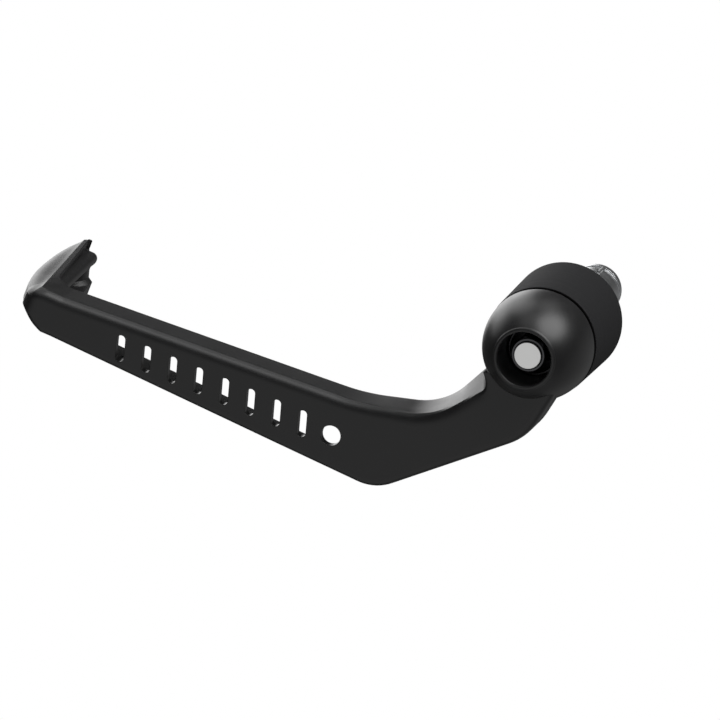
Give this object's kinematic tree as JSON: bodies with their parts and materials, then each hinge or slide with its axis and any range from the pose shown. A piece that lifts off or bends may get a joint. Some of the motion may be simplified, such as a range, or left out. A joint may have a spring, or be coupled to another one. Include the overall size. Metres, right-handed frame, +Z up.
{
  "type": "brake lever guard",
  "caption": "Handlebar-end guard whose moulded blade and hook curve in front of a brake lever, with a bar-end spacer and expander.",
  "frame": {"origin": "on the handlebar's axis, on the spacer face that seats on the bar's end", "axes": "+X forward along the blade to the hook, +Y outboard along the handlebar's axis, +Z up"},
  "size_m": [0.1631, 0.0872, 0.0735],
  "materials": {
    "black_nylon": "satin black glass-filled nylon, fine moulded grain",
    "black_acetal": "turned black acetal, faint lathe rings",
    "black_steel": "black oxide on steel, lightly oiled",
    "bright_zinc": "bright zinc plating",
    "raw_alloy": "turned aluminium, not anodised"
  },
  "bodies": {
    "root": {"guard_arm": "black_nylon", "bar_end_spacer": "black_acetal", "nut_washer": "black_steel", "lock_nut": "black_steel", "through_stud": "bright_zinc", "outer_cone": "raw_alloy", "split_sleeve": "raw_alloy", "inner_cone": "raw_alloy"}
  },
  "joints": []
}
